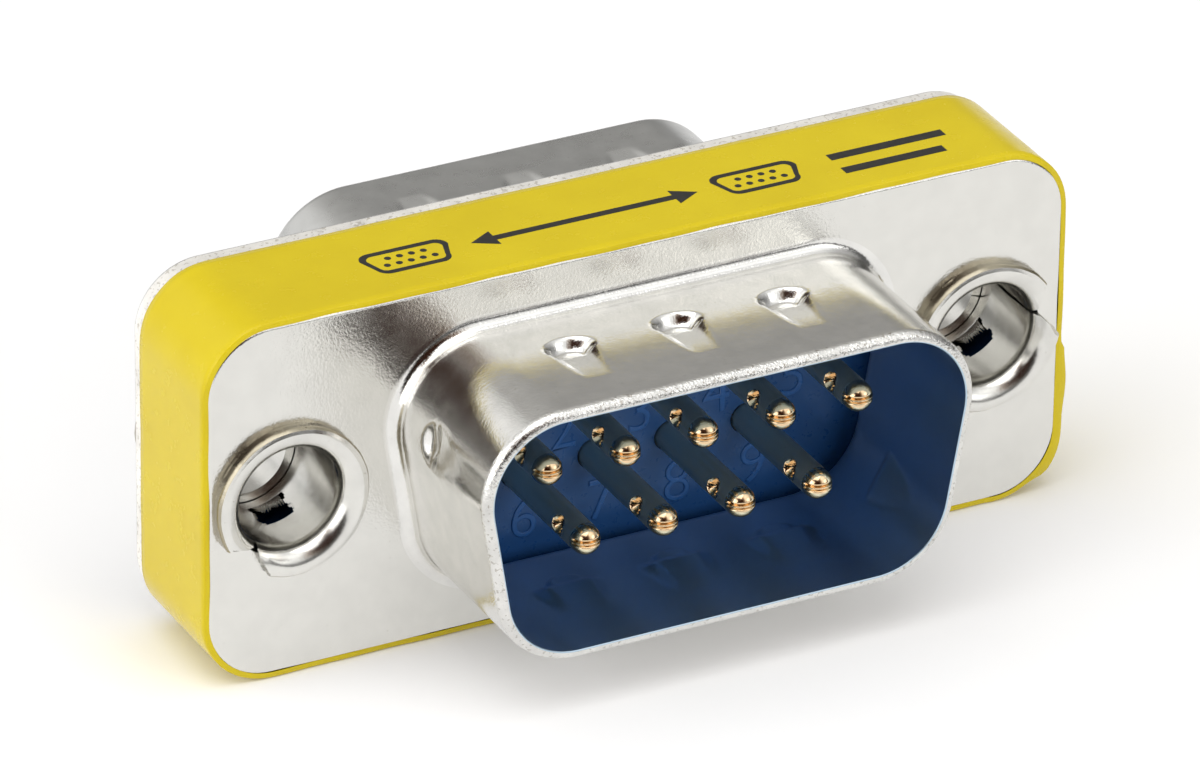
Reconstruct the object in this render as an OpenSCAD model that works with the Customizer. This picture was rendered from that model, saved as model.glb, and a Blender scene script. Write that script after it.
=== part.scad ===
// Slim nine-way D-sub gender changer with pin contacts on both faces.
// Millimetres. Row frame: +X along the body, +Z up, the front shell points along -Y.
// The origin lies on the resting plane, under the middle of the bounding box.
// Every sub-part is drawn in a local frame whose +Z points out of the front face
// and whose +Y points up. The function of each module says where it sits.

/* [Body] */
// Flange left between an eyelet rim and the end of the body
end_margin = 0.155; // [0.1:0.005:2]
// Height of the metal body
body_h = 12.4; // [12:0.1:16]
// Depth of the body between the two flange faces
body_d = 5.5; // [4.8:0.1:9]
// Corner radius of the body seen from the front
corner_r = 2.2; // [1.2:0.1:2.8]
// Bend radius along the front edge of the body
edge_r = 0.45; // [0.4:0.05:0.8]
// Depth of the rear flange with its rolled edge
rear_t = 0.52; // [0.45:0.01:0.6]
// Thickness of the sheet metal
sheet_t = 0.35; // [0.3:0.01:0.38]

/* [D shells] */
// Inside width of a shell half way up
shell_w = 16.26; // [16:0.02:16.6]
// Inside height of a shell
shell_h = 8.26; // [8.1:0.02:8.5]
// Inside corner radius of a shell
shell_r = 2.48; // [1.8:0.02:2.8]
// Slope of the two short sides in degrees
shell_slope = 9.6; // [6:0.2:12]
// Reach of the front shell beyond its flange
front_reach = 6.16; // [5.4:0.02:7]
// Reach of the rear shell beyond its flange
rear_reach = 5.4; // [5.2:0.02:7]
// Radius between a flange and the outside of its shell
foot_r = 0.43; // [0.2:0.01:0.6]
// Rounding of the outer edge of the shell rim
lip_r = 0.3; // [0.1:0.01:0.3]

/* [Spring dimples] */
// Distance between neighbouring dimples on the long walls
dimple_pitch = 3.8; // [3:0.1:4.2]
// Distance from the flange to the deep end of a dimple
dimple_start = 2.15; // [1.4:0.05:2.6]
// Length of a dimple
dimple_l = 2.3; // [1.4:0.1:2.8]
// Depth of a dimple at its deep end
dimple_depth = 0.3; // [0.1:0.01:0.34]
// Radius of the scoop that forms a dimple
dimple_r = 1.1; // [0.6:0.05:1.5]

/* [Contacts] */
// Diameter of a contact pin
pin_d = 1.02; // [0.9:0.01:1.06]
// Distance between neighbouring contacts of one row
pin_pitch = 2.77; // [2.7:0.01:2.84]
// Distance between the two rows of contacts
row_pitch = 2.84; // [2.7:0.01:3]
// Distance from the shell rim back to the pin tips
pin_recess = 1.5; // [0.8:0.05:2]
// Width of the seam across the domed pin tip
tip_seam = 0.1; // [0.06:0.01:0.14]
// Depth of the seam in the domed pin tip
tip_seam_depth = 0.34; // [0.1:0.01:0.4]
// Diameter of the round hole in the side of a pin
vent_d = 0.46; // [0.3:0.02:0.56]
// Distance from the pin tip to the round side hole
vent_back = 1.6; // [1.2:0.05:2]
// Width of the strip that joins the two ends of a contact
tie_w = 0.8; // [0.5:0.05:0.95]
// Thickness of the strip that joins the two ends
tie_t = 0.3; // [0.2:0.02:0.5]
// Diameter of the holding collar inside the insulator
collar_d = 1.4; // [1.2:0.02:1.7]
// Thickness of the holding collar
collar_t = 0.4; // [0.2:0.05:0.8]

/* [Insulators] */
// Depth of the pocket in the face of an insulator
pocket_depth = 0.35; // [0.1:0.05:0.8]
// Width of the pocket wall outside the shell opening
pocket_margin = 0.95; // [0.85:0.01:1.1]
// Diameter of the screw clearance hole in an insulator
relief_d = 5.2; // [4.4:0.1:5.2]

/* [Screw eyelets] */
// Flange left between an eyelet rim and the foot of the D, which sets the distance of the screws
foot_gap = 0.935; // [0.8:0.005:1.1]
// Inside diameter of a rear eyelet, which takes the screw
screw_d = 2.84; // [2.5:0.02:2.9]
// Inside diameter of a front eyelet
throat_d = 3.5; // [3.46:0.01:3.6]
// Wall thickness of an eyelet
eyelet_t = 0.3; // [0.2:0.01:0.3]
// Diameter of the rolled rim of an eyelet
rim_d = 5.3; // [4.8:0.05:5.4]
// Height of the rolled rim above the flange
rim_h = 0.38; // [0.3:0.01:0.6]
// Radius of the bell that leads from the rim into the eyelet
bell_r = 0.62; // [0.3:0.01:0.65]
// Opening angle of the split in the rolled rim in degrees
split_angle = 47; // [20:1:60]
// Width of the seam down the wall of an eyelet
seam_w = 0.14; // [0.06:0.01:0.3]
// Direction of the split in the left front eyelet in degrees
split_left = 227; // [180:1:270]
// Direction of the split in the right front eyelet in degrees
split_right = 17; // [-30:1:60]
// Direction of the torn window in the left front eyelet
window_left = 285; // [260:1:320]
// Direction of the torn window in the right front eyelet
window_right = 304; // [260:1:320]
// Side length of a torn window
window_w = 1.2; // [0.6:0.05:1.3]
// Distance from the flange face to a torn window
window_start = 1.6; // [1.2:0.05:2]
// Angle between the wall of an eyelet and its torn flap in degrees
flap_angle = 30; // [15:1:40]
// Length of a front eyelet behind the flange face
front_tube = 3.85; // [3.6:0.05:4.4]
// Length of a rear eyelet behind the flange face
rear_tube = 2.3; // [1.6:0.05:2.6]

/* [Label band] */
// Thickness of the adhesive band
band_t = 0.14; // [0.08:0.01:0.2]
// Distance from the front face to the edge of the band
band_front = 0.12; // [0.05:0.01:0.5]
// Bare metal left behind the band
band_rear = 0.68; // [0.4:0.02:1.2]
// Height above the resting plane at which the lapped end starts
lap_top = 5.4; // [4.5:0.1:7]

/* [Hidden] */

fit = 0.03;            // gap between parts that are pressed or crimped together
slack = 0.1;           // gap between the insulators and the metal around them
over = 0.5;            // how far a cutting tool runs past the surface it cuts
bump = 0.25;           // metal left under a dimple
shell_fn = 48;         // facets of the insulator and band corners
corner_steps = 10;     // facets across a corner of a shell
scoop_fn = 32;         // facets of a dimple
arc_steps = 4;         // facets across a bend of the sheet
bore_fn = 48;          // facets of the eyelets
pin_fn = 24;           // facets of the contacts

flap_t = 0.2;          // thickness of a torn flap
flap_w = window_w * 0.7;
flap_l = window_w * 0.5;
corner_dimple = 30;    // turn of the dimple on the lower right corner in degrees

half_d = body_d / 2;
inside_d = half_d - sheet_t;
pin_r = pin_d / 2;
bend_r = sheet_t + foot_r;
screw_pitch = shell_w + 2 * (bend_r + foot_gap) + rim_d;
body_w = screw_pitch + rim_d + 2 * end_margin;
total_y = front_reach + body_d + rear_reach;
front_face_y = -total_y / 2 + front_reach;
mid_y = front_face_y + half_d;
mid_z = body_h / 2 + band_t + fit;

tin = [0.86, 0.86, 0.83];
satin = [0.74, 0.74, 0.72];
blue = [0.08, 0.18, 0.36];
gold = [0.83, 0.62, 0.28];
yellow = [0.84, 0.76, 0.13];

// Centre of the rounded end of each contact, seen from the front
function pin_x(n) = n <= 5 ? (n - 3) * pin_pitch : (n - 7.5) * pin_pitch;
function pin_y(n) = n <= 5 ? row_pitch / 2 : -row_pitch / 2;

// Corner centres of the D, anticlockwise from the lower right corner
function d_reach(y) = shell_w / 2 + y * tan(shell_slope) - shell_r / cos(shell_slope);
function d_core() = let(h = shell_h / 2 - shell_r)
  [[d_reach(-h), -h], [d_reach(h), h], [-d_reach(h), h], [-d_reach(-h), -h]];

// Corner centres of a rounded rectangle, anticlockwise from the lower right corner
function box_core(w, h, r) = let(x = w / 2 - r, y = h / 2 - r)
  [[x, -y], [x, y], [-x, y], [-x, -y]];

// Local frame to row frame
module place() {
  translate([0, mid_y, mid_z]) rotate([90, 0, 0]) children();
}

// Front half to rear half: half a turn about the long axis of the body
module turned() {
  rotate([180, 0, 0]) children();
}

// Direction of the side that leaves corner i of a core
function turn_at(core, i) = let(a = core[i % 4], b = core[(i + 1) % 4])
  atan2(b[1] - a[1], b[0] - a[0]);

// Point at distance r from corner i, square to the side that leaves corner j
function beside(core, i, j, r) = let(normal = turn_at(core, j) - 90)
  core[i % 4] + r * [cos(normal), sin(normal)];

// Prism whose outline is a four-cornered core widened by r, with round corners
module prism(core, r, h) {
  linear_extrude(h) {
    polygon([for (i = [0:3]) each [beside(core, i, i + 3, r), beside(core, i, i, r)]]);
    for (corner = core) translate(corner) circle(r, $fn = shell_fn);
  }
}

// Points [height, radius] along a quarter round that leads from one point to another
// Leaving along the height gives a rounded edge, leaving along the radius a hollow foot
function rounded(z0, r0, z1, r1, hollow) = [for (i = [0:arc_steps]) let(t = 90 * i / arc_steps)
  hollow ? [z0 + (z1 - z0) * (1 - cos(t)), r0 + (r1 - r0) * sin(t)]
         : [z0 + (z1 - z0) * sin(t), r0 + (r1 - r0) * (1 - cos(t))]];

// Corner centre and direction of every edge line around a four-cornered core
function rays(core) = [for (i = [0:3]) let(start = turn_at(core, i + 3),
  turn = (turn_at(core, i) - start + 360) % 360) for (k = [0:corner_steps])
    [core[i], start - 90 + turn * k / corner_steps]];

// Solid that follows a path of [height, radius] points around a four-cornered core
module loft(core, path) {
  rays = rays(core);
  n = len(rays);
  top = (len(path) - 1) * n;
  polyhedron(
    points = [for (p = path) for (ray = rays)
      [ray[0][0] + p[1] * cos(ray[1]), ray[0][1] + p[1] * sin(ray[1]), p[0]]],
    faces = concat(
      [[for (i = [0:n - 1]) i], [for (i = [n - 1:-1:0]) top + i]],
      [for (j = [0:n:top - n]) for (i = [0:n - 1])
        [j + i, j + n + i, j + n + (i + 1) % n, j + (i + 1) % n]]));
}

// Scoop pointing down along -Z, deep at the origin and shallow along +Y
module scoop(r, depth) {
  hull() for (end = [[0, depth], [dimple_l + over, -over * depth / dimple_l]])
    translate([0, end[0], r - end[1]]) rotate([-90, 0, 0]) cylinder(h = fit, r = r, $fn = scoop_fn);
}

// Spring dimples around a shell; each child stands in a wall frame whose +Z points out
module on_walls() {
  for (x = [-dimple_pitch, 0, dimple_pitch]) {
    translate([x, shell_h / 2 + sheet_t, dimple_start]) rotate([-90, 180, 0]) children();
    translate([x, -shell_h / 2 - sheet_t, dimple_start]) rotate([90, 0, 0]) children();
  }
  corner = d_core();
  side = shell_r + sheet_t;
  translate([corner[2][0], corner[2][1], dimple_start]) rotate([0, 0, 180 - shell_slope])
    translate([side, 0, 0]) rotate([90, 0, 90]) children();
  translate([corner[0][0], corner[0][1], dimple_start]) rotate([0, 0, -corner_dimple])
    translate([side, 0, 0]) rotate([90, 0, 90]) children();
}

// Outside of a D that stands on the plane z = 0, from its hollow foot to its rounded lip
module d_outside(reach) {
  r = shell_r + sheet_t;
  loft(d_core(), concat([[-sheet_t / 2, r + foot_r]], rounded(0, r + foot_r, foot_r, r, true),
    rounded(reach - lip_r, r, reach, r - lip_r, false)));
}

// Room inside a D, which opens towards the body with the bend of the sheet
module d_inside(reach) {
  difference() {
    loft(d_core(), concat([[-sheet_t - over, shell_r + bend_r]],
      rounded(-sheet_t, shell_r + bend_r, foot_r, shell_r, true), [[reach + over, shell_r]]));
    on_walls() translate([0, -bump, 0]) scoop(dimple_r + bump, dimple_depth + bump);
  }
}

// Holes for the two eyelets
module eyelet_holes(d, bottom, top) {
  for (side = [-1, 1]) translate([side * screw_pitch / 2, 0, bottom])
    cylinder(h = top - bottom, d = d, $fn = bore_fn);
}

// Drawn tray: front flange, bent edge, side walls and the front D
module front_shell() color(tin) place() translate([0, 0, half_d]) {
  skirt = body_d - rear_t;
  difference() {
    union() {
      loft(box_core(body_w, body_h, corner_r), concat([[-skirt, corner_r]],
        rounded(-edge_r, corner_r, 0, corner_r - edge_r, false)));
      d_outside(front_reach);
    }
    loft(box_core(body_w, body_h, corner_r), [[-skirt - over, corner_r - sheet_t],
      [-sheet_t, corner_r - sheet_t]]);
    d_inside(front_reach);
    on_walls() scoop(dimple_r, dimple_depth);
    eyelet_holes(throat_d + 2 * eyelet_t + 2 * fit, -sheet_t - over, over);
  }
}

// Rear flange with a rolled edge, lying on the end of the tray, and the rear D
module rear_shell() color(satin) place() turned() translate([0, 0, half_d]) {
  difference() {
    union() {
      loft(box_core(body_w, body_h, corner_r), concat([[-rear_t, corner_r]],
        rounded(-edge_r, corner_r, 0, corner_r - edge_r, false)));
      d_outside(rear_reach);
    }
    loft(box_core(body_w, body_h, corner_r), [[-rear_t - over, corner_r - sheet_t],
      [-sheet_t, corner_r - sheet_t]]);
    d_inside(rear_reach);
    on_walls() scoop(dimple_r, dimple_depth);
    eyelet_holes(screw_d + 2 * eyelet_t + 2 * fit, -sheet_t - over, over);
  }
}

// One insulator: a block between the flange and the middle plane of the body
module insulator_half() {
  wall = corner_r - sheet_t - slack;
  difference() {
    prism(box_core(body_w, body_h, corner_r), wall, inside_d);
    translate([0, 0, inside_d - pocket_depth])
      prism(d_core(), shell_r + pocket_margin, pocket_depth + over);
    eyelet_holes(relief_d, -over, inside_d + over);
    for (n = [1:9]) translate([pin_x(n), 0, 0]) {
      translate([0, pin_y(n), -over]) cylinder(h = inside_d + 2 * over, r = pin_r + fit, $fn = pin_fn);
      translate([0, pin_y(n), -over]) cylinder(h = tie_t / 2 + collar_t + fit + over,
        r = collar_d / 2 + fit, $fn = pin_fn);
      translate([-tie_w / 2 - fit, -row_pitch / 2, -over]) cube([tie_w + 2 * fit, row_pitch,
        tie_t / 2 + fit + over]);
    }
    for (n = [1:9]) translate([pin_x(n), -pin_y(n), -over])
      cylinder(h = tie_t / 2 + fit + over, r = collar_d / 2 + fit, $fn = pin_fn);
  }
}

module front_insulator() color(blue) place() insulator_half();

module rear_insulator() color(blue) place() turned() insulator_half();

// One rolled pin, from the strip in the middle plane out to its domed tip
module pin_end(reach) {
  tip = half_d + reach - pin_recess;
  difference() {
    union() {
      cylinder(h = tip - pin_r, r = pin_r, $fn = pin_fn);
      translate([0, 0, tip - pin_r]) sphere(pin_r, $fn = pin_fn);
      cylinder(h = tie_t / 2 + collar_t, d = collar_d, $fn = pin_fn);
    }
    translate([-pin_r - over, -tip_seam / 2, tip - tip_seam_depth])
      cube([2 * pin_r + 2 * over, tip_seam, tip_seam_depth + over]);
    translate([-pin_r - over, 0, tip - vent_back]) rotate([0, 90, 0])
      cylinder(h = pin_r + over, d = vent_d, $fn = pin_fn);
  }
}

// Double-ended contact: the two ends sit in opposite rows, joined by a flat strip
module contact(n) color(gold) place() translate([pin_x(n), 0, 0]) {
  translate([0, pin_y(n), 0]) pin_end(front_reach);
  turned() translate([0, pin_y(n), 0]) pin_end(rear_reach);
  translate([-tie_w / 2, -row_pitch / 2, -tie_t / 2]) cube([tie_w, row_pitch, tie_t]);
}

module contact_1() contact(1);
module contact_2() contact(2);
module contact_3() contact(3);
module contact_4() contact(4);
module contact_5() contact(5);
module contact_6() contact(6);
module contact_7() contact(7);
module contact_8() contact(8);
module contact_9() contact(9);

// Eyelet with a rolled bell rim on the flange face, length measured from that face
module eyelet_body(bore, length) {
  r = bore / 2;
  rotate_extrude($fn = bore_fn) difference() {
    union() {
      translate([r, -length]) square([eyelet_t, length]);
      translate([r, 0]) square([rim_d / 2 - r, rim_h]);
    }
    difference() {
      translate([r - over, rim_h - bell_r]) square([over + bell_r, bell_r + over]);
      translate([r + bell_r, rim_h - bell_r]) circle(bell_r, $fn = bore_fn);
    }
    difference() {
      translate([rim_d / 2 - rim_h / 3, rim_h * 2 / 3]) square([rim_h, rim_h]);
      translate([rim_d / 2 - rim_h / 3, rim_h * 2 / 3]) circle(rim_h / 3, $fn = bore_fn);
    }
  }
}

// Split in the rim that narrows to a seam along the wall
module split(bore, length, direction) {
  far = rim_d / 2 + over;
  rotate([0, 0, direction]) {
    translate([0, -seam_w / 2, -length - over]) cube([far, seam_w, length + rim_h + 2 * over]);
    translate([0, 0, -fit]) linear_extrude(rim_h + over) polygon([
      [bore / 2 - seam_w, 0],
      [far * cos(split_angle / 2), -far * sin(split_angle / 2)],
      [far * cos(split_angle / 2), far * sin(split_angle / 2)]
    ]);
  }
}

// Front eyelet with a torn window whose flap grips the screw thread
module front_eyelet(side, split_at, window_at) {
  r = throat_d / 2;
  color(tin) place() translate([side * screw_pitch / 2, 0, half_d]) {
    difference() {
      eyelet_body(throat_d, front_tube);
      split(throat_d, front_tube, split_at);
      rotate([0, 0, window_at]) translate([r - over, -window_w / 2, -window_start - window_w])
        cube([over + eyelet_t + over, window_w, window_w]);
    }
    rotate([0, 0, window_at]) translate([r + eyelet_t, 0, -window_start]) rotate([0, flap_angle, 0])
      translate([-flap_t, -flap_w / 2, -flap_l]) cube([flap_t, flap_w, flap_l + fit]);
  }
}

// Rear eyelet: a narrower tube that slides into the front one
module rear_eyelet(side, split_at) {
  color(tin) place() turned() translate([side * screw_pitch / 2, 0, half_d]) difference() {
    eyelet_body(screw_d, rear_tube);
    split(screw_d, rear_tube, split_at);
  }
}

module front_eyelet_left() front_eyelet(-1, split_left, window_left);
module front_eyelet_right() front_eyelet(1, split_right, window_right);
module rear_eyelet_left() rear_eyelet(-1, split_left);
module rear_eyelet_right() rear_eyelet(1, split_right);

// Adhesive band around the edge of the body, with its lapped end on the right side
module label_band() color(yellow) place() {
  long = body_d - band_front - band_rear;
  core = box_core(body_w, body_h, corner_r);
  low = corner_r + band_t + fit - mid_z;
  translate([0, 0, half_d - band_front - long]) difference() {
    union() {
      prism(core, corner_r + fit + band_t, long);
      translate([body_w / 2 + fit, low, 0]) cube([2 * band_t, lap_top - mid_z - low, long]);
    }
    translate([0, 0, -over]) prism(core, corner_r + fit, long + 2 * over);
  }
}

front_shell();
rear_shell();
front_insulator();
rear_insulator();
contact_1();
contact_2();
contact_3();
contact_4();
contact_5();
contact_6();
contact_7();
contact_8();
contact_9();
front_eyelet_left();
front_eyelet_right();
rear_eyelet_left();
rear_eyelet_right();
label_band();
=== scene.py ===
import math
import bmesh
import bpy
import numpy as np
from mathutils import Matrix, Vector


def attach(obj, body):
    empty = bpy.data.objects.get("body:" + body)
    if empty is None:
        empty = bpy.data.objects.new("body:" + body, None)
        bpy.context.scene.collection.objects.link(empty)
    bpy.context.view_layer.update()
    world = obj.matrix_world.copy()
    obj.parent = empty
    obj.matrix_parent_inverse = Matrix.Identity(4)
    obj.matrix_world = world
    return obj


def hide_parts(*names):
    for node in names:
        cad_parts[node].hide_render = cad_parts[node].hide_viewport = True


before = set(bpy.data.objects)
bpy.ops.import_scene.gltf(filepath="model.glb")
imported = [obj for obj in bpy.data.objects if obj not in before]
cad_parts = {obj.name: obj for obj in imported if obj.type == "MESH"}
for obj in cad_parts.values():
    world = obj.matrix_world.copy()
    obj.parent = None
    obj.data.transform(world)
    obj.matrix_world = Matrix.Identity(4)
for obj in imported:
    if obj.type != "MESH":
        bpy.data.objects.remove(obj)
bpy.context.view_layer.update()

# Sizes in millimetres, as in the part's source
BODY_W, BODY_H, BODY_D = 30.6, 12.4, 5.5
CORNER_R, EDGE_R, SHEET_T, REAR_T = 2.2, 0.12, 0.35, 0.52
SHELL_W, SHELL_H, SHELL_R, SLOPE = 16.26, 8.26, 2.48, math.radians(9.6)
FRONT_REACH, REAR_REACH, FOOT_R, LIP_R = 6.16, 5.4, 0.43, 0.3
DIMPLE_PITCH, DIMPLE_START, FRONT_RAMP, REAR_RAMP = 3.8, 2.15, 2.3, 1.5
PIN_D, PIN_PITCH, ROW_PITCH, PIN_RECESS = 1.02, 2.77, 2.84, 1.5
COLLAR_R, COLLAR_HALF = 0.7, 0.1485
POCKET_DEPTH = 0.35
SCREW_PITCH, SCREW_D, THROAT_D, EYELET_T = 24.99, 2.84, 3.5, 0.3
RIM_D, RIM_H, BELL_R = 5.3, 0.46, 0.70
FRONT_TUBE, REAR_TUBE = 3.85, 2.3
BAND_T, BAND_FRONT, BAND_REAR, LAP_TOP, FIT = 0.14, 0.03, 0.78, 5.4, 0.03

HALF_D = BODY_D / 2
INSIDE_D = HALF_D - SHEET_T
PIN_R = PIN_D / 2
TOTAL_Y = FRONT_REACH + BODY_D + REAR_REACH
FRONT_FACE_Y = -TOTAL_Y / 2 + FRONT_REACH
MID_Y = FRONT_FACE_Y + HALF_D
MID_Z = BODY_H / 2 + BAND_T + FIT
MM = 0.001


# ---- frames ----
def to_row(p, turned=False):
    """Local millimetres (x right, y up, z out of the face) to row metres."""
    p = np.asarray(p, float)
    x, y, z = p[..., 0], p[..., 1], p[..., 2]
    if turned:
        y, z = -y, -z
    return np.stack([x, MID_Y - z, MID_Z + y], -1) * MM


# ---- outlines around a four-cornered core ----
def d_core():
    h = SHELL_H / 2 - SHELL_R
    reach = lambda y: SHELL_W / 2 + y * math.tan(SLOPE) - SHELL_R / math.cos(SLOPE)
    return [(reach(-h), -h), (reach(h), h), (-reach(h), h), (-reach(-h), -h)]


def box_core():
    x, y = BODY_W / 2 - CORNER_R, BODY_H / 2 - CORNER_R
    return [(x, -y), (x, y), (-x, y), (-x, -y)]


def outline(core, corner_steps, side_step):
    """Base points and outward normals round a core, dense enough for relief on its sides."""
    after = core[1:] + core[:1]
    turn = [math.atan2(q[1] - p[1], q[0] - p[0]) for p, q in zip(core, after)]
    base, normal = [], []
    for i in range(4):
        a0 = turn[i - 1] - math.pi / 2
        sweep = (turn[i] - turn[i - 1]) % (2 * math.pi)
        for k in range(corner_steps):
            a = a0 + sweep * k / corner_steps
            base.append(core[i])
            normal.append((math.cos(a), math.sin(a)))
        a, b = np.array(core[i]), np.array(after[i])
        n = max(2, int(round(np.linalg.norm(b - a) / side_step[i % len(side_step)])))
        out = (math.cos(turn[i] - math.pi / 2), math.sin(turn[i] - math.pi / 2))
        for k in range(n):
            base.append(tuple(a + (b - a) * k / n))
            normal.append(out)
    return np.array(base), np.array(normal)


def ring_grid(base, normal, path):
    """Grid of points [path][ring] for a path of (height, radius) steps."""
    path = np.asarray(path, float)
    xy = base[None] + path[:, 1, None, None] * normal[None]
    z = np.repeat(path[:, 0, None], len(base), 1)
    return np.concatenate([xy, z[..., None]], -1)


def arc(z0, r0, z1, r1, hollow, steps):
    """Quarter round between two (height, radius) points."""
    t = np.linspace(0, math.pi / 2, steps + 1)
    if hollow:
        return np.stack([z0 + (z1 - z0) * (1 - np.cos(t)), r0 + (r1 - r0) * np.sin(t)], -1)
    return np.stack([z0 + (z1 - z0) * np.sin(t), r0 + (r1 - r0) * (1 - np.cos(t))], -1)


def line(z0, r0, z1, r1, steps):
    t = np.linspace(0, 1, steps + 1)
    return np.stack([z0 + (z1 - z0) * t, r0 + (r1 - r0) * t], -1)


def join(*paths):
    out = [np.asarray(paths[0])]
    for p in paths[1:]:
        p = np.asarray(p)
        out.append(p[1:] if np.allclose(out[-1][-1], p[0], atol=1e-6) else p)
    return np.concatenate(out)


# ---- meshes ----
def filled(loops):
    """Points and triangles of the flat area in the first loop, with the other loops cut out."""
    bm = bmesh.new()
    for loop in loops:
        vs = [bm.verts.new((p[0], p[1], 0)) for p in loop]
        for a, b in zip(vs, vs[1:] + vs[:1]):
            bm.edges.new((a, b))
    bmesh.ops.triangle_fill(bm, use_beauty=True, use_dissolve=False, edges=bm.edges[:], normal=(0, 0, 1))
    bm.verts.index_update()
    points = np.array([(v.co.x, v.co.y) for v in bm.verts])
    faces = [(tuple(v.index for v in f.verts), f.normal.z < 0) for f in bm.faces]
    bm.free()
    return points, faces


class Build:
    """Collects vertices and faces of one piece, in row metres."""

    def __init__(self):
        self.v, self.f, self.m = [], [], []

    def add(self, points):
        start = len(self.v)
        self.v.extend(map(tuple, np.asarray(points).reshape(-1, 3)))
        return start

    def grid(self, p, closed=True, flip=False, mat=0, skip=None):
        """p is [m][n] row points; closed joins the last column to the first one."""
        m, n = p.shape[:2]
        s = self.add(p)
        for j in range(m - 1):
            for i in range(n if closed else n - 1):
                if skip is not None and skip[j, i]:
                    continue
                k = (i + 1) % n
                q = (s + j * n + i, s + (j + 1) * n + i, s + (j + 1) * n + k, s + j * n + k)
                self.f.append(q[::-1] if flip else q)
                self.m.append(mat)

    def fan(self, ring, flip=False, mat=0):
        """Closes a ring of row points with one face."""
        s = self.add(ring)
        q = tuple(range(s, s + len(ring)))
        self.f.append(q[::-1] if flip else q)
        self.m.append(mat)

    def plate(self, loops, z, to, mat=0, flip=False):
        """Flat face at local height z inside the first loop, with the other loops cut out."""
        points, faces = filled(loops)
        s = self.add(to(np.column_stack([points, np.full(len(points), z)])))
        for f, down in faces:
            q = tuple(s + i for i in f)
            self.f.append(q[::-1] if down != flip else q)
            self.m.append(mat)

    def piece(self, name, mats, replaces=(), sharp=38, merge=2e-7):
        me = bpy.data.meshes.new(name)
        me.from_pydata(self.v, [], self.f)
        for mat in mats:
            me.materials.append(mat)
        me.polygons.foreach_set("material_index", self.m)
        me.polygons.foreach_set("use_smooth", [True] * len(self.f))
        if merge:
            bm = bmesh.new()
            bm.from_mesh(me)
            bmesh.ops.remove_doubles(bm, verts=bm.verts[:], dist=merge)
            bm.to_mesh(me)
            bm.free()
        me.validate()
        me.set_sharp_from_angle(angle=math.radians(sharp))
        ob = bpy.data.objects.new(name, me)
        bpy.context.scene.collection.objects.link(ob)
        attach(ob, "root")
        if replaces:
            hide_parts(*replaces)
        return ob


# ---- materials ----
def material(name, base, rough, metallic=0.0, **extra):
    mat = bpy.data.materials.new(name)
    mat.use_nodes = True
    nt = mat.node_tree
    bsdf = nt.nodes["Principled BSDF"]
    bsdf.inputs["Base Color"].default_value = (*base, 1)
    bsdf.inputs["Roughness"].default_value = rough
    bsdf.inputs["Metallic"].default_value = metallic
    for key, value in extra.items():
        bsdf.inputs[key.replace("_", " ")].default_value = value
    return mat, nt, bsdf


def noise(nt, scale, detail, rough):
    coord = nt.nodes.new("ShaderNodeTexCoord")
    tex = nt.nodes.new("ShaderNodeTexNoise")
    tex.inputs["Scale"].default_value = scale
    tex.inputs["Detail"].default_value = detail
    tex.inputs["Roughness"].default_value = rough
    nt.links.new(coord.outputs["Object"], tex.inputs["Vector"])
    return tex.outputs["Fac"]


def ramp(nt, fac, stops):
    r = nt.nodes.new("ShaderNodeValToRGB")
    while len(r.color_ramp.elements) < len(stops):
        r.color_ramp.elements.new(0.5)
    for el, (pos, col) in zip(r.color_ramp.elements, stops):
        el.position = pos
        el.color = (*col, 1) if isinstance(col, tuple) else (col, col, col, 1)
    nt.links.new(fac, r.inputs["Fac"])
    return r.outputs["Color"]


def bump(nt, bsdf, height, distance, after=None):
    b = nt.nodes.new("ShaderNodeBump")
    b.inputs["Strength"].default_value = 1.0
    b.inputs["Distance"].default_value = distance
    nt.links.new(height, b.inputs["Height"])
    if after is not None:
        nt.links.new(after, b.inputs["Normal"])
    nt.links.new(b.outputs["Normal"], bsdf.inputs["Normal"])
    return b.outputs["Normal"]


def blended(nt, blend, a, b):
    node = nt.nodes.new("ShaderNodeMix")
    node.data_type, node.blend_type = "RGBA", blend
    node.inputs["Factor"].default_value = 1.0
    nt.links.new(a, node.inputs["A"])
    nt.links.new(b, node.inputs["B"])
    return node.outputs["Result"]


def maths(nt, operation, a, b):
    """b is a number or a socket."""
    node = nt.nodes.new("ShaderNodeMath")
    node.operation = operation
    nt.links.new(a, node.inputs[0])
    if isinstance(b, float):
        node.inputs[1].default_value = b
    else:
        nt.links.new(b, node.inputs[1])
    return node.outputs["Value"]


def varied(nt, bsdf, socket, field, low, high):
    """Lets a value wander between two values over the surface."""
    nt.links.new(ramp(nt, field, [(0.3, low), (0.7, high)]), bsdf.inputs[socket])


def metal(name, base, rough, spread, peel, grain, specks, cloud=0.90, grit=0.73):
    """Plated sheet: tone and roughness vary a little, orange peel and fine grain bend the reflections."""
    mat, nt, bsdf = material(name, base, rough, 1.0)
    tone = ramp(nt, noise(nt, 900, 6, 0.62), [(0.30, tuple(c * cloud for c in base)), (0.62, base)])
    speck = (specks, specks * 0.97, specks * 0.92)
    dots = ramp(nt, noise(nt, 8000, 2, 0.5), [(grit, (1.0, 1.0, 1.0)), (grit + 0.04, speck)])
    nt.links.new(blended(nt, "MULTIPLY", tone, dots), bsdf.inputs["Base Color"])
    varied(nt, bsdf, "Roughness", noise(nt, 1500, 5, 0.6), rough - spread, rough + spread)
    first = bump(nt, bsdf, noise(nt, 2600, 2, 0.5), peel)
    bump(nt, bsdf, noise(nt, 12000, 2, 0.6), grain, first)
    return mat


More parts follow.
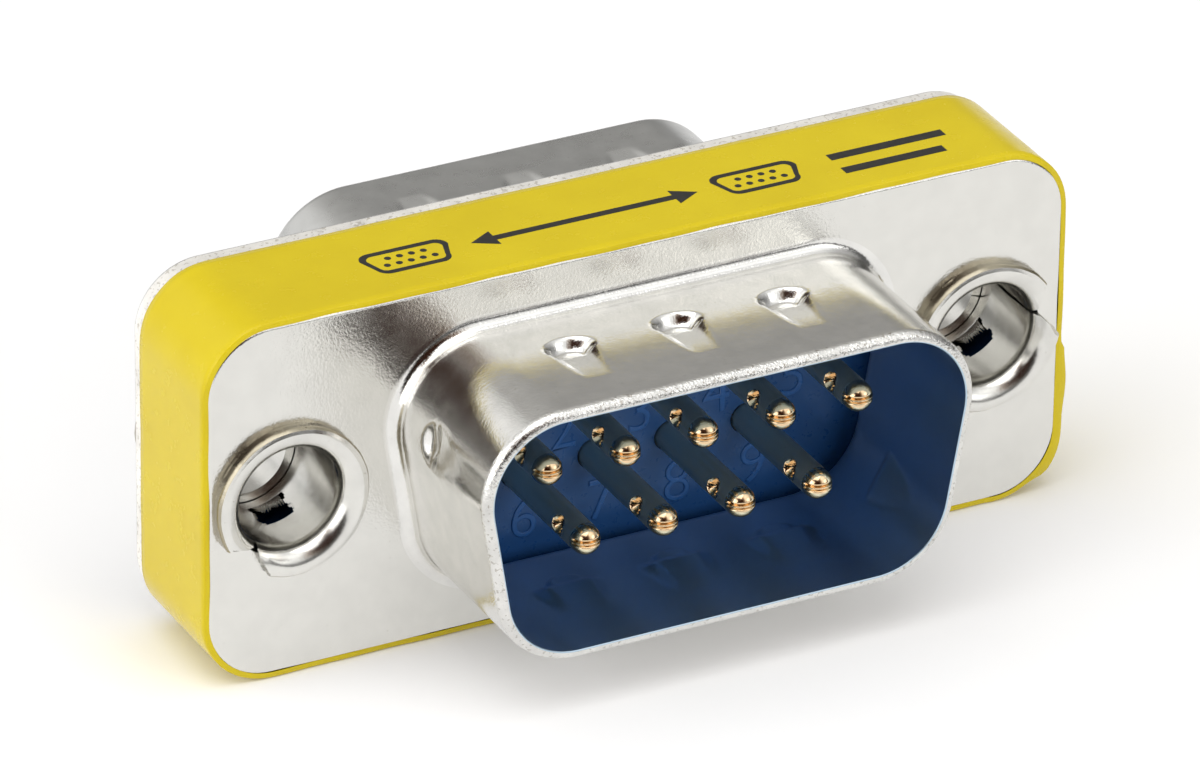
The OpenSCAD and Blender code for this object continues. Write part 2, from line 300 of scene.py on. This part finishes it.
TIN = metal("tin", (0.83, 0.82, 0.79), 0.14, 0.03, 0.0000030, 0.0000055, 0.72)
# flat plate: finer grain and fewer specks, and a base darker than the walls' tin of the same sheet, as
# painted shade
FLANGE_SHADED_TIN = metal("tin_flange_painted_shade", (0.77, 0.76, 0.72), 0.18, 0.03, 0.0000010, 0.0000080, 0.80, 0.95)
SATIN = metal("tin_satin", (0.66, 0.66, 0.645), 0.30, 0.05, 0.0000030, 0.0000015, 0.80)
LIP = metal("tin_lip", (0.81, 0.80, 0.77), 0.16, 0.05, 0.0000100, 0.0000220, 0.70, 0.80, 0.60)
# inner walls: a darker, blue-tinted copy of the tin, as painted shade and painted reflection of the blue
# insulator
BLUE_SHADED_INSIDE = metal("tin_inside_painted_blue_shade", (0.49, 0.62, 0.72), 0.30, 0.01, 0.0000004, 0.0000002, 0.94, 0.98)
EYELET = metal("tin_eyelet", (0.78, 0.77, 0.73), 0.20, 0.04, 0.0000030, 0.0000020, 0.75)
SHEARED = metal("tin_sheared", (0.62, 0.58, 0.51), 0.34, 0.10, 0.0000140, 0.0000060, 0.45)
# dark olive tin for the eyelets' outer rim wall: painted shade and painted dark reflection
RIM_WALL_SHADE = metal("tin_eyelet_rim_painted_shade", (0.42, 0.38, 0.29), 0.30, 0.06, 0.0000050, 0.0000050, 0.60)
# near-white, half-metallic tin for crimped and crumpled edges: real grit and specks, with painted highlight
# in its bright base
CRIMP_GRIT_GLINT = metal("tin_crimped_grit_painted_glint", (0.95, 0.93, 0.88), 0.46, 0.06, 0.0000120, 0.0000120, 0.70, 0.80, 0.59)
CRIMP_GRIT_GLINT.node_tree.nodes["Principled BSDF"].inputs["Metallic"].default_value = 0.5
GOLD = metal("gold", (0.92, 0.68, 0.42), 0.15, 0.03, 0.0000010, 0.0000010, 0.85)
# a greyer, duller copy of the gold for the pin shafts inside the shell: painted shade
SHADED_GOLD_SHAFT = metal("gold_shaft_painted_shade", (0.70, 0.66, 0.48), 0.38, 0.02, 0.0000003, 0.0000002, 0.95, 0.97)


# near-black for the floor of the pins' side holes: painted shade
def vent_dark():
    mat, nt, bsdf = material("vent_dark", (0.010, 0.007, 0.005), 0.6)
    varied(nt, bsdf, "Base Color", noise(nt, 6000, 3, 0.6), (0.004, 0.003, 0.003), (0.016, 0.011, 0.007))
    return mat


VENT_SHADE = vent_dark()


def blue_plastic(name, tone):
    mat, nt, bsdf = material(name, (0.020 * tone, 0.085 * tone, 0.260 * tone), 0.34, IOR=1.5)
    dark, light = (0.018 * tone, 0.078 * tone, 0.240 * tone), (0.023 * tone, 0.094 * tone, 0.285 * tone)
    varied(nt, bsdf, "Base Color", noise(nt, 700, 5, 0.55), dark, light)
    varied(nt, bsdf, "Roughness", noise(nt, 3000, 4, 0.6), 0.24, 0.38)
    bump(nt, bsdf, noise(nt, 3600, 3, 0.55), 0.0000010)
    return mat


def yellow_film():
    mat, nt, bsdf = material("band_yellow", (0.60, 0.46, 0.007), 0.22, IOR=1.33)
    varied(nt, bsdf, "Base Color", noise(nt, 420, 5, 0.55), (0.575, 0.445, 0.006), (0.620, 0.490, 0.008))
    varied(nt, bsdf, "Roughness", noise(nt, 1500, 4, 0.6), 0.18, 0.30)
    first = bump(nt, bsdf, noise(nt, 330, 3, 0.5), 0.000012)
    bump(nt, bsdf, noise(nt, 3200, 2, 0.5), 0.0000012, first)
    return mat


def ink():
    mat, nt, bsdf = material("print_black", (0.010, 0.010, 0.010), 0.34)
    varied(nt, bsdf, "Base Color", noise(nt, 4000, 4, 0.6), (0.006, 0.006, 0.006), (0.020, 0.019, 0.014))
    bump(nt, bsdf, noise(nt, 5000, 2, 0.5), 0.0000010)
    return mat


BLUE, YELLOW, INK = blue_plastic("insulator_blue", 1.0), yellow_film(), ink()
# a lighter copy of the insulator's blue for the numerals: painted highlight
NUMERAL_HIGHLIGHT_BLUE = blue_plastic("numeral_blue_painted_highlight", 1.35)


# ---- drawn shells ----
def smooth(t):
    t = np.clip(t, 0, 1)
    return t * t * (3 - 2 * t)


def dimple_places():
    """Centre, outward direction and strength of each spring dimple."""
    core = d_core()
    out = []
    for x in (-DIMPLE_PITCH, 0, DIMPLE_PITCH):
        out.append(((x, SHELL_H / 2 - SHELL_R), (0, 1), 1.0))
        out.append(((x, -SHELL_H / 2 + SHELL_R), (0, -1), 1.0))
    a = math.pi - SLOPE
    out.append((core[2], (math.cos(a), math.sin(a)), 0.5))
    a = math.radians(-30)
    out.append((core[0], (math.cos(a), math.sin(a)), 0.5))
    return out


def press(points, wall, inside, run):
    """Pushes wall points in at the spring dimples: a steep oval pit and a ramp that fades towards the lip."""
    p = points.copy()
    z = p[..., 2]
    soft, wider, early, share = (2.2, 0.12, 0.10, 0.55) if inside else (1.0, 0.0, 0.0, 1.0)
    pit, ramp_top, pit_end = 0.40, 0.42 if inside else 0.21, 0.42
    for centre, out, strength in dimple_places():
        out = np.array(out)
        along = np.array([-out[1], out[0]])
        d = p[..., :2] - np.array(centre)
        s, height = d @ along, d @ out
        low = z - (DIMPLE_START - early)
        oval = np.sqrt((s / 0.86) ** 2 + ((low - 0.12) / 0.56) ** 2)
        bowl = strength * pit * (1 - smooth((oval - 0.55 * strength) / (1.1 - 0.55 * strength)))
        fade = np.clip(1 - (low - 0.1) / (run - 0.1), 0, 1)
        side = 1 - smooth((np.abs(s) - (0.30 + 0.28 * fade + wider)) / (0.30 * soft))
        channel = ramp_top * fade ** 1.15 * side * smooth((low - 0.05) / pit_end)
        depth = np.maximum(bowl - 0.26, share * channel) if inside else np.maximum(bowl, channel)
        reached = np.clip(depth - np.clip(wall - height, 0, None), 0, None)
        push = np.where((depth > 0) & (height > 0), reached, 0)
        p[..., :2] -= push[..., None] * out
    return p


def circle(cx, cy, r, n=64):
    a = np.linspace(0, 2 * math.pi, n, endpoint=False)
    return [(cx + r * math.cos(t), cy + r * math.sin(t)) for t in a]


def shell(name, reach, turned, skirt, mats, hole):
    """One drawn part: plate with a bent edge, hollow foot, walls with dimples, rounded lip and the inside."""
    b = Build()
    to = lambda p: to_row(p, turned)
    base, normal = outline(d_core(), 26, [0.14, 0.07])
    r = SHELL_R + SHEET_T
    lift = HALF_D
    outer = join(line(0, r + FOOT_R + 0.06, 0, r + FOOT_R, 1), arc(0, r + FOOT_R, FOOT_R, r, True, 12),
                 line(FOOT_R, r, reach - LIP_R, r, int((reach - LIP_R - FOOT_R) / 0.055)),
                 arc(reach - LIP_R, r, reach, r - LIP_R, False, 8))
    inner = join(line(reach, SHELL_R + 0.05, reach, SHELL_R + 0.02, 1),
                 line(reach, SHELL_R + 0.02, reach - 0.02, SHELL_R, 1),
                 line(reach - 0.02, SHELL_R, FOOT_R, SHELL_R, int((reach - FOOT_R) / 0.09)),
                 arc(-SHEET_T, SHELL_R + SHEET_T + FOOT_R, FOOT_R, SHELL_R, True, 8)[::-1])
    for path, wall in ((outer, r), (inner, SHELL_R)):
        g = press(ring_grid(base, normal, path), wall, path is inner, REAR_RAMP if turned else FRONT_RAMP)
        g[..., 2] += lift
        # the inner wall takes the fourth material, the darker blue-tinted tin: painted shade and painted
        # reflection
        b.grid(to(g[:-8] if path is outer else g), mat=0 if path is outer else 3)
        if path is outer:
            b.grid(to(g[-9:]), mat=4)
    # plate between the foot and the bent edge
    cb, cn = outline(box_core(), 14, [1.0])
    foot = base + (r + FOOT_R + 0.06) * normal
    edge = cb + (CORNER_R - EDGE_R - 0.05) * cn
    holes = [circle(s * SCREW_PITCH / 2, 0, hole) for s in (-1, 1)]
    b.plate([edge, foot] + holes, lift, to, mat=1)
    side = join(line(0, CORNER_R - EDGE_R - 0.05, 0, CORNER_R - EDGE_R, 1),
                arc(-EDGE_R, CORNER_R, 0, CORNER_R - EDGE_R, False, 10)[::-1],
                line(-EDGE_R, CORNER_R, -skirt, CORNER_R, 10))
    g = ring_grid(cb, cn, side)
    g[..., 2] += lift
    b.grid(to(g[:12]), flip=True, mat=1)
    # side strip behind the rounded edge: the bright half-metallic tin, grit with painted highlight
    b.grid(to(g[11:]), flip=True, mat=5)
    under = join(line(-skirt, CORNER_R, -skirt, CORNER_R - SHEET_T, 1),
                 line(-skirt, CORNER_R - SHEET_T, -SHEET_T, CORNER_R - SHEET_T, 2))
    g = ring_grid(cb, cn, under)
    g[..., 2] += lift
    b.grid(to(g), flip=True, mat=2)
    back = cb + (CORNER_R - SHEET_T) * cn
    throat = base + (SHELL_R + SHEET_T + FOOT_R) * normal
    b.plate([back, throat] + holes, lift - SHEET_T, to, mat=1, flip=True)
    return b.piece(name, mats, replaces=(name.replace("_drawn", ""),))


shell("front_shell_drawn", FRONT_REACH, False, BODY_D - REAR_T,
      [TIN, FLANGE_SHADED_TIN, SHEARED, BLUE_SHADED_INSIDE, LIP, CRIMP_GRIT_GLINT], THROAT_D / 2 + EYELET_T)
shell("rear_shell_drawn", REAR_REACH, True, REAR_T,
      [SATIN, SATIN, SHEARED, BLUE_SHADED_INSIDE, SATIN, CRIMP_GRIT_GLINT], SCREW_D / 2 + EYELET_T)


# ---- eyelets ----
def eyelet(name, bore, length, centre_x, turned, split_deg, window_deg, seed):
    """Flared tube: the rim is split in a V that narrows to a seam, and a window is torn in the wall."""
    rng = np.random.default_rng(seed)
    b = Build()
    to = lambda p: to_row(p + np.array([centre_x, 0, HALF_D]), turned)
    r, rim = bore / 2, RIM_D / 2
    bell = min(BELL_R, rim - r - 0.2)
    low = RIM_H - bell
    up = line(-length, r, low, r, 30)
    rounding = [(RIM_H - 0.02, rim - 0.14), (RIM_H - 0.04, rim - 0.07),
                (RIM_H - 0.10, rim - 0.02), (RIM_H - 0.18, rim)]
    path = join(up, arc(low, r, RIM_H, r + bell, False, 14),
                line(RIM_H, r + bell, RIM_H - 0.02, rim - 0.14, 3), rounding,
                line(RIM_H - 0.18, rim, 0.0, rim - 0.03, 4), line(0.0, rim - 0.03, 0.0, r + EYELET_T, 2),
                line(0.0, r + EYELET_T, -length, r + EYELET_T, 24),
                line(-length, r + EYELET_T, -length, r, 1))
    n = 240
    # the two edges of the split wander
    tear = np.cumsum(rng.normal(0, 0.010, (2, len(path))), 1)
    tear -= np.linspace(0, 1, len(path))[None] * tear[:, -1:]
    rho, z = path[:, 1], path[:, 0]
    open_by = np.radians(0.6) + np.radians(21.5) * smooth((rho - r - 0.02) / (rim - r - 0.1)) * (z > low)
    pts = np.zeros((len(path), n, 3))
    for j in range(len(path)):
        a = np.linspace(open_by[j] + tear[0, j], 2 * math.pi - open_by[j] + tear[1, j], n)
        a = a + math.radians(split_deg)
        lift = 0.0
        if z[j] > 0.02:
            t = np.linspace(0, 1, n)
            lift = 0.07 * np.exp(-((1 - t) / 0.05) ** 2) - 0.06 * np.exp(-(t / 0.04) ** 2)
        chip = max(0.0, 1 - (rim - rho[j]) / 0.2) * (z[j] > 0.05)
        waves = 0.010 * np.sin(a * 7 + seed) + 0.005 * np.sin(a * 23 + 2 * seed) + 0.002 * np.sin(a * 61)
        rr = rho[j] - chip * (0.010 + waves)
        height = z[j] + np.zeros(n) + lift * (rho[j] > r + 0.3)
        pts[j] = np.stack([rr * np.cos(a), rr * np.sin(a), height], -1)
    skip = np.zeros((len(path) - 1, n), bool)
    if window_deg is not None:
        ang = (np.linspace(0, 360, n) + split_deg - window_deg + 180) % 360 - 180
        for j in range(len(path) - 1):
            zz = (z[j] + z[j + 1]) / 2
            if rho[j] < r + 0.4 and -2.75 < zz < -1.6:
                skip[j] = np.abs(ang) < 19 + 2.5 * math.sin(zz * 9)
    # the outer edge and wall of the rim take a dark olive tin: painted shade and painted dark reflection
    shade_from = int(np.argmax(rho > rim - 0.09))
    wall_end = shade_from + 6
    b.grid(to(pts[:shade_from + 1]), closed=False, flip=True, skip=skip)
    b.grid(to(pts[shade_from:wall_end + 1]), closed=False, flip=True, mat=2)
    b.grid(to(pts[wall_end:]), closed=False, flip=True, skip=skip[wall_end:])
    b.fan(to(pts[:, 0]))
    b.fan(to(pts[:, -1]), flip=True)
    if window_deg is not None:
        # flap bent inward from the window's deep edge, its crumpled free edge towards the front
        u, v = np.meshgrid(np.linspace(-1, 1, 61), np.linspace(0, 1, 13))
        half, crumpled = math.radians(17), 9
        a = math.radians(window_deg) + u * half * (1 - 0.12 * v)
        inward = 0.02 + 0.26 * v + 0.05 * np.sin(u * 24 + 1.0) * v ** 3 + 0.04 * np.sin(u * 41) * v ** 5
        zz = -2.76 + 0.66 * v + 0.08 * np.sin(u * 29) * v ** 4 + 0.05 * u * v
        rad = r - inward
        top = np.stack([rad * np.cos(a), rad * np.sin(a), zz], -1)
        low_side = top.copy()
        low_side[..., 2] -= 0.05
        low_side[..., :2] *= ((rad + 0.13) / rad)[..., None]
        b.grid(to(top[:crumpled + 1]), closed=False, flip=True)
        # the crumpled part and free edge take the bright half-metallic tin: painted highlight
        b.grid(to(top[crumpled:]), closed=False, flip=True, mat=3)
        b.grid(to(low_side), closed=False)
        edge = np.stack([top[-1], low_side[-1]])
        b.grid(to(edge), closed=False, flip=True, mat=3)
        for col, fl in ((0, False), (-1, True)):
            b.grid(to(np.stack([top[:, col], low_side[:, col]])), closed=False, flip=fl, mat=1)
    return b.piece(name + "_flared", [EYELET, SHEARED, RIM_WALL_SHADE, CRIMP_GRIT_GLINT], replaces=(name,), sharp=32)


eyelet("front_eyelet_left", THROAT_D, FRONT_TUBE, -SCREW_PITCH / 2, False, 227, 285, 3)
eyelet("front_eyelet_right", THROAT_D, FRONT_TUBE, SCREW_PITCH / 2, False, 17, 304, 5)
eyelet("rear_eyelet_left", SCREW_D, REAR_TUBE, -SCREW_PITCH / 2, True, 227, None, 7)
eyelet("rear_eyelet_right", SCREW_D, REAR_TUBE, SCREW_PITCH / 2, True, 17, None, 9)


# ---- contacts ----
def pin_place(n):
    return ((n - 3) * PIN_PITCH, ROW_PITCH / 2) if n <= 5 else ((n - 7.5) * PIN_PITCH, -ROW_PITCH / 2)


def pin(b, x, y, reach, turned):
    """Rolled pin with a domed tip, the seam across it and the round hole in its side."""
    to = lambda p: to_row(p + np.array([x, y, 0]), turned)
    tip = HALF_D + reach - PIN_RECESS
    mid = tip - PIN_R
    dome = [(mid + PIN_R * math.sin(t), PIN_R * math.cos(t)) for t in np.linspace(0, math.pi / 2, 41)]
    dome[-1] = (tip, 0.004)
    vent_z, vent_turn = mid - 0.95, math.radians(164)
    vent_zone = 0.42
    path = join(line(0.2, PIN_R, vent_z - vent_zone, PIN_R, 8),
                line(vent_z - vent_zone, PIN_R, vent_z + vent_zone, PIN_R, 26),
                line(vent_z + vent_zone, PIN_R, mid, PIN_R, 6), dome)
    n = 108
    a = np.linspace(0, 2 * math.pi, n, endpoint=False)
    g = np.zeros((len(path), n, 3))
    for j, (z, rad) in enumerate(path):
        g[j] = np.stack([rad * np.cos(a), rad * np.sin(a), z + 0 * a], -1)
    # round hole in the left side: a pit whose floor is painted near-black, as painted shade
    around = PIN_R * ((a - vent_turn + math.pi) % (2 * math.pi) - math.pi)
    off = np.hypot(around[None], path[:, :1] - vent_z)
    sunk = 0.30 * (1 - smooth((off - 0.24) / 0.09)) - 0.012 * np.exp(-((off - 0.345) / 0.03) ** 2)
    sunk *= path[:, :1] < mid
    g[..., :2] *= (1 - sunk / PIN_R)[..., None]
    # seams across the dome, where the rolled halves meet
    out = g - np.array([0, 0, mid])
    for level, depth, width in ((0.11, 0.13, 0.034), (-0.03, 0.11, 0.032)):
        cut = depth * np.exp(-((g[..., 1] - level) / width) ** 2) * smooth((g[..., 2] - mid + 0.05) / 0.2)
        g = g - out * (cut / PIN_R)[..., None]
    start = len(b.f)
    b.grid(to(g), flip=False)
    for k in range(start, len(b.f)):
        j, i = divmod(k - start, n)
        # the hole's floor takes the near-black: painted shade
        if off[j, i] < 0.268:
            b.m[k] = 1
        # the shafts take the greyer gold copy: painted shade
        elif path[j, 0] < mid - 0.12 and off[j, i] > 0.37:
            b.m[k] = 2


for number in range(1, 10):
    b = Build()
    x, y = pin_place(number)
    pin(b, x, y, FRONT_REACH, False)
    pin(b, x, y, REAR_REACH, True)
    for side in (y, -y):
        rim = circle(x, side, COLLAR_R, 32)
        p = np.array([[(u, v, z) for u, v in rim] for z in (-COLLAR_HALF, COLLAR_HALF)])
        b.grid(to_row(p))
        b.fan(to_row(p[1]))
        b.fan(to_row(p[0]), flip=True)
    node = "contact_%d" % number
    b.piece(node + "_rolled", [GOLD, VENT_SHADE, SHADED_GOLD_SHAFT], replaces=(node,), sharp=50)


# ---- insulators: the CAD shape with its plastic, and the moulded numerals ----
for node in ("front_insulator", "rear_insulator"):
    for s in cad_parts[node].material_slots:
        s.material = BLUE


def numerals(name, turned):
    """Moulded pin numbers on the floor of the pocket, in a lighter copy of the insulator's blue as painted
    highlight.
    """
    z = INSIDE_D - POCKET_DEPTH
    made = []
    for n in range(1, 10):
        x, y = pin_place(n)
        cu = bpy.data.curves.new(name, "FONT")
        cu.body = str(n)
        cu.size = 2.15
        cu.align_x, cu.align_y = "CENTER", "CENTER"
        cu.extrude, cu.bevel_depth, cu.bevel_resolution, cu.offset = 0.004, 0.045, 2, -0.05
        cu.resolution_u = 5
        tmp = bpy.data.objects.new(name, cu)
        bpy.context.scene.collection.objects.link(tmp)
        bpy.context.view_layer.update()
        me = bpy.data.meshes.new_from_object(tmp.evaluated_get(bpy.context.evaluated_depsgraph_get()))
        bpy.data.objects.remove(tmp)
        co = np.array([v.co for v in me.vertices])
        place = np.array([x + 0.3, y - 1.8 if n > 5 else y - 1.75, z])
        made.append((co + place, [tuple(p.vertices) for p in me.polygons]))
    b = Build()
    for co, faces in made:
        s = b.add(to_row(co, turned))
        for f in faces:
            b.f.append(tuple(s + i for i in f))
            b.m.append(0)
    return b.piece(name, [NUMERAL_HIGHLIGHT_BLUE], sharp=30, merge=0)


numerals("front_numerals", False)
numerals("rear_numerals", True)


# ---- yellow band ----
def band():
    b = Build()
    cb, cn = outline(box_core(), 16, [0.25, 0.4])
    z0, z1 = HALF_D - BAND_FRONT, HALF_D - BODY_D + BAND_REAR
    inner, outer = CORNER_R + FIT, CORNER_R + FIT + BAND_T
    path = join([(z0, inner), (z0, outer - 0.03), (z0 - 0.03, outer)],
                line(z0 - 0.03, outer, z1 + 0.03, outer, 18),
                [(z1 + 0.03, outer), (z1, outer - 0.03), (z1, inner)])
    g = ring_grid(cb, cn, path)
    # the lapped end stands off the right side
    y = cb[:, 1] + outer * cn[:, 1]
    right = np.clip((cn[:, 0] - 0.2) / 0.5, 0, 1)
    lap = smooth((LAP_TOP - MID_Z - y) / 0.12) * smooth((y + 6.1) / 0.6) * right
    wave = 0.5 + 0.5 * np.sin(y * 2.1 + 0.6)
    push = lap * (0.13 + 0.10 * wave)
    stands_off = (path[:, 1, None] > inner) * (0.75 + 0.25 * (path[:, 0, None] > 0))
    g[..., :2] += (push[None] * stands_off)[..., None] * cn[None]
    g[0, :, :2] -= 0.06 * cn
    # edges of the film wander a little
    along = np.cumsum(np.hypot(*(np.roll(cb + outer * cn, -1, 0) - (cb + outer * cn)).T))
    wander = 0.018 * np.sin(along * 0.9) + 0.012 * np.sin(along * 2.3 + 1.0)
    g[:3, :, 2] += wander
    g[-3:, :, 2] += 0.7 * wander[::-1]
    b.grid(to_row(g), flip=True)
    return b.piece("label_band_film", [YELLOW], replaces=("label_band",), sharp=50)


band()


# ---- generic marks on the top of the band ----
def marks():
    """Two connector outlines joined by a double arrow, and two plain bars."""
    b = Build()
    top = BODY_H / 2 + FIT + BAND_T + 0.004

    def flat(loops):
        """Loops in (x, depth behind the front face) on the top of the band."""
        points, faces = filled(loops)
        across, depth = points.T
        s = b.add(to_row(np.column_stack([across, np.full(len(points), top), HALF_D - depth])))
        for f, _ in faces:
            b.f.append(tuple(s + i for i in f))
            b.m.append(0)

    def d_shape(cx, cy, w, h, r, n=6):
        slope = 0.16 * h
        corners = [(w / 2 - slope, -h / 2), (w / 2, h / 2), (-w / 2, h / 2), (-w / 2 + slope, -h / 2)]
        start = [-80, 0, 90, 190]
        pts = []
        for (px, py), a0 in zip(corners, start):
            qx = px - math.copysign(r, px)
            qy = py - math.copysign(r, py)
            for k in range(n + 1):
                a = math.radians(a0 + (80 if a0 in (-80, 190) else 90) * k / n)
                pts.append((cx + qx + r * math.cos(a), cy + qy + r * math.sin(a)))
        return pts

    for cx in (-7.3, 5.2):
        flat([d_shape(cx, 2.1, 3.1, 1.5, 0.42), d_shape(cx, 2.1, 2.66, 1.06, 0.26)])
        for k in range(5):
            flat([circle(cx + (k - 2) * 0.42, 1.9, 0.115, 14)])
        for k in range(4):
            flat([circle(cx + (k - 1.5) * 0.42, 2.32, 0.115, 14)])
    flat([[(-5.1, 2.1), (-4.25, 1.62), (-4.25, 1.95), (2.15, 1.95), (2.15, 1.62),
           (3.0, 2.1), (2.15, 2.58), (2.15, 2.25), (-4.25, 2.25), (-4.25, 2.58)]])
    for x0, x1, y0 in ((7.9, 11.6, 1.15), (7.9, 12.1, 2.15)):
        flat([[(x0, y0), (x1, y0), (x1, y0 + 0.42), (x0, y0 + 0.42)]])
    return b.piece("band_marks", [INK], sharp=30, merge=0)


marks()


# ---- studio ----
def area(name, loc, target, size, power, color=(1, 1, 1), size_y=None):
    data = bpy.data.lights.new(name, "AREA")
    data.shape = "RECTANGLE"
    data.size, data.size_y = size, size_y or size
    data.energy = power
    data.color = color
    ob = bpy.data.objects.new(name, data)
    bpy.context.scene.collection.objects.link(ob)
    ob.location = loc
    ob.rotation_euler = (Vector(target) - Vector(loc)).to_track_quat("-Z", "Y").to_euler()
    return ob


CENTRE = (0, FRONT_FACE_Y * MM, MID_Z * MM)
area("key", (-0.06, -0.06, 0.30), CENTRE, 0.30, 0.42)
area("side_left", (-0.34, -0.06, 0.12), CENTRE, 0.44, 0.58, size_y=0.26)
area("right_front", (0.27, -0.30, 0.15), CENTRE, 0.16, 0.08)
area("front_fill", (0.10, -0.34, 0.12), CENTRE, 0.20, 0.35).visible_glossy = False


def studio_world():
    """Even studio: brighter overhead, a low dark horizon, and a dark warm patch where the camera stands."""
    world = bpy.data.worlds.new("studio")
    bpy.context.scene.world = world
    world.use_nodes = True
    nt = world.node_tree
    nt.nodes.clear()
    out = nt.nodes.new("ShaderNodeOutputWorld")
    coord = nt.nodes.new("ShaderNodeTexCoord")
    sep = nt.nodes.new("ShaderNodeSeparateXYZ")
    nt.links.new(coord.outputs["Generated"], sep.inputs[0])
    sky = ramp(nt, sep.outputs["Z"], [(0.0, 0.07), (0.16, 0.10), (0.32, 0.42), (0.60, 0.62), (0.8, 0.95)])

    def lobe(toward, stops, below, blend):
        """Mixes a tone over the sky as a direction nears a given one."""
        dot = nt.nodes.new("ShaderNodeVectorMath")
        dot.operation = "DOT_PRODUCT"
        nt.links.new(coord.outputs["Generated"], dot.inputs[0])
        dot.inputs[1].default_value = Vector(toward).normalized()
        return blended(nt, blend, below, ramp(nt, dot.outputs["Value"], stops))

    sky = lobe((0.3, 0.9, 0.35), [(0.30, 1.0), (0.75, (0.68, 0.67, 0.65))], sky, "MULTIPLY")
    sky = lobe((0.50, -0.72, 0.56), [(0.87, 0.0), (0.97, 0.55)], sky, "ADD")
    sky = lobe((-0.95, -0.15, 0.30), [(0.75, 0.0), (0.95, 0.55)], sky, "ADD")
    sky = lobe((-0.60, 0.72, 0.38), [(0.80, 0.0), (0.95, 0.60)], sky, "ADD")
    patch = [(0.765, 1.0), (0.85, (0.45, 0.36, 0.30)), (0.93, (0.060, 0.020, 0.009))]
    sky = lobe((-0.409, -0.779, 0.475), patch, sky, "MULTIPLY")
    lit = nt.nodes.new("ShaderNodeBackground")
    lit.inputs["Strength"].default_value = 1.0
    nt.links.new(sky, lit.inputs["Color"])
    white = nt.nodes.new("ShaderNodeBackground")
    white.inputs["Color"].default_value = (1, 1, 1, 1)
    white.inputs["Strength"].default_value = 0.97
    path = nt.nodes.new("ShaderNodeLightPath")
    mix = nt.nodes.new("ShaderNodeMixShader")
    # metal shows the white sweep too, where it stands: low and behind the part
    behind = ramp(nt, sep.outputs["Y"], [(0.45, 0.0), (0.75, 1.0)])
    low = ramp(nt, sep.outputs["Z"], [(0.08, 1.0), (0.20, 0.0)])
    mirrored = maths(nt, "MULTIPLY", path.outputs["Is Glossy Ray"], maths(nt, "MULTIPLY", behind, low))
    seen = maths(nt, "MAXIMUM", path.outputs["Is Camera Ray"], path.outputs["Is Transmission Ray"])
    nt.links.new(maths(nt, "MAXIMUM", seen, mirrored), mix.inputs["Fac"])
    nt.links.new(lit.outputs[0], mix.inputs[1])
    nt.links.new(white.outputs[0], mix.inputs[2])
    nt.links.new(mix.outputs[0], out.inputs["Surface"])


studio_world()


def floor():
    """White floor just under the part, which metal sees with half of the part's shadow."""
    mat, nt, bsdf = material("floor_white", (0.93, 0.93, 0.93), 0.7)
    varied(nt, bsdf, "Base Color", noise(nt, 30, 3, 0.5), 0.925, 0.945)
    glow = nt.nodes.new("ShaderNodeEmission")
    glow.inputs["Color"].default_value = (0.93, 0.93, 0.93, 1)
    path = nt.nodes.new("ShaderNodeLightPath")
    mix = nt.nodes.new("ShaderNodeMixShader")
    nt.links.new(maths(nt, "MULTIPLY", path.outputs["Is Glossy Ray"], 0.5), mix.inputs["Fac"])
    nt.links.new(bsdf.outputs[0], mix.inputs[1])
    nt.links.new(glow.outputs[0], mix.inputs[2])
    nt.links.new(mix.outputs[0], nt.nodes["Material Output"].inputs["Surface"])
    me = bpy.data.meshes.new("floor")
    half_side, z = 1.5, -0.00002
    corners = [(half_side * i, half_side * j, z) for i, j in ((-1, -1), (1, -1), (1, 1), (-1, 1))]
    me.from_pydata(corners, [], [(0, 1, 2, 3)])
    me.materials.append(mat)
    ob = bpy.data.objects.new("floor", me)
    bpy.context.scene.collection.objects.link(ob)


floor()

# ---- camera, fitted to the photograph ----
AZ, EL, ROLL = math.radians(-27.6707), math.radians(28.3780), math.radians(0.8277)
DIST, FOCAL_PX, SHIFT_X, SHIFT_Y, WIDTH_PX = 333.212, 10426.8, -1.3303, 1.0185, 1200
SENSOR = 36.0
right = Vector((math.cos(AZ), math.sin(AZ), 0))
back = Vector((math.sin(AZ) * math.cos(EL), -math.cos(AZ) * math.cos(EL), math.sin(EL)))
up = back.cross(right)
right2 = right * math.cos(ROLL) + up * math.sin(ROLL)
up2 = -right * math.sin(ROLL) + up * math.cos(ROLL)
eye = Vector((0, FRONT_FACE_Y, MID_Z)) + SHIFT_X * right2 + SHIFT_Y * up2 + DIST * back
cam_data = bpy.data.cameras.new("camera")
cam_data.sensor_width = SENSOR
cam_data.lens = FOCAL_PX / WIDTH_PX * SENSOR
cam_data.clip_start, cam_data.clip_end = 0.01, 10
cam = bpy.data.objects.new("camera", cam_data)
bpy.context.scene.collection.objects.link(cam)
m = Matrix((right2, up2, back)).transposed().to_4x4()
m.translation = eye * MM
cam.matrix_world = m
bpy.context.scene.camera = cam
bpy.context.scene.view_settings.view_transform = "Standard"
